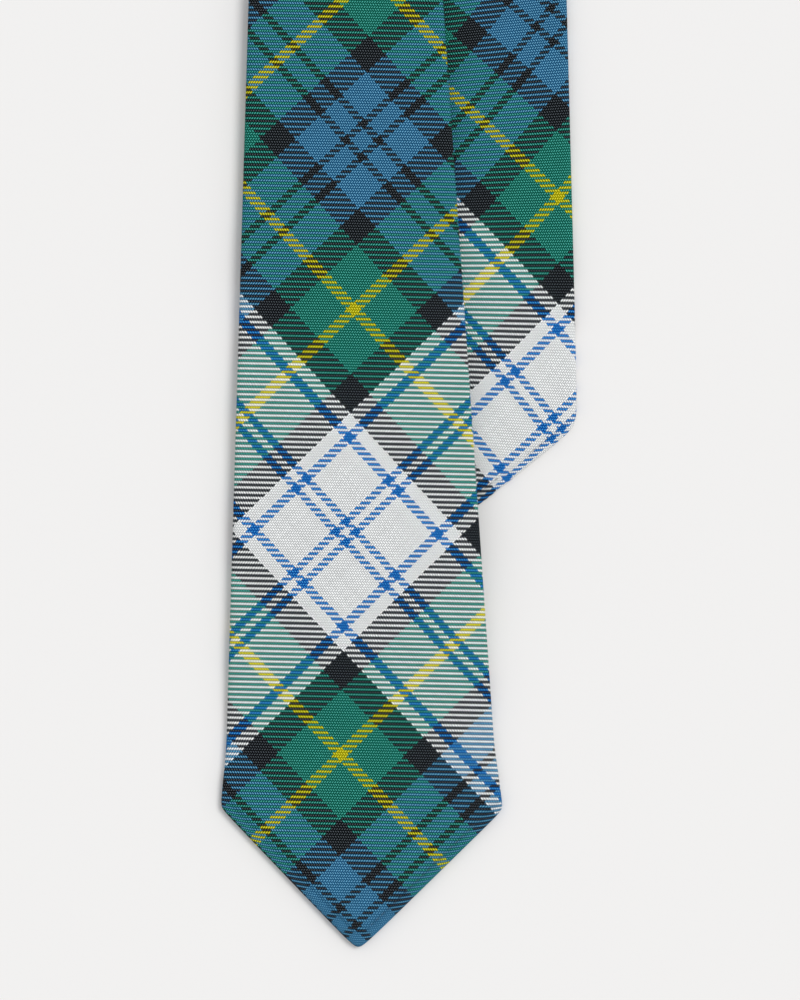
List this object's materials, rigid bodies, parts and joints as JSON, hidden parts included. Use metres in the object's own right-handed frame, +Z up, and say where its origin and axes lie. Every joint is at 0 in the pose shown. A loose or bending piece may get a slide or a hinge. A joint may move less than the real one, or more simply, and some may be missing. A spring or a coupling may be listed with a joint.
{
  "type": "necktie",
  "caption": "Full-width bias-cut necktie in tartan wool, folded flat with mitred folds at the neck, blade over tail, with lining, canvas and keeper loop.",
  "frame": {"origin": "middle of the bounding box on the surface that the tie lies on", "axes": "+Z up out of that surface, +Y along the front blade from its point towards the neck fold, +X towards the side where the tail shows"},
  "size_m": [0.1056, 0.793, 0.0104],
  "materials": {
    "tartan_wool": "matte",
    "canvas": "matte",
    "lining": "satin",
    "thread": "matte",
    "label": "satin"
  },
  "bodies": {
    "tail": {"tail_shell": "tartan_wool", "gusset_tail_side": "tartan_wool", "tail_interlining": "canvas", "tail_tipping": "lining", "tail_edge_stitches": "thread", "tail_bar_tack": "thread", "tail_slip_stitches": "thread", "tail_seam_stitches": "thread"},
    "neck": {"gusset_middle": "tartan_wool", "neck_interlining": "canvas", "neck_slip_stitches": "thread"},
    "blade": {"blade_shell": "tartan_wool", "gusset_blade_side": "tartan_wool", "blade_interlining": "canvas", "blade_tipping": "lining", "blade_edge_stitches": "thread", "blade_bar_tack": "thread", "blade_slip_stitches": "thread", "blade_seam_stitches": "thread", "back_label": "label", "back_label_stitches": "thread", "keeper_loop": "tartan_wool", "keeper_loop_ends": "tartan_wool", "keeper_loop_stitches": "thread"}
  },
  "joints": [
    {"name": "neck_fold", "type": "hinge", "parent": "tail", "child": "neck", "pos_m": [0.03488, 0.3785, 0.0052], "axis": [-0.6997, 0.7145, 0], "range_deg": [0, 180]},
    {"name": "blade_fold", "type": "hinge", "parent": "neck", "child": "blade", "pos_m": [-0.0118, 0.3785, 0.0052], "axis": [-0.7071, -0.7071, 0], "range_deg": [0, 180]}
  ]
}
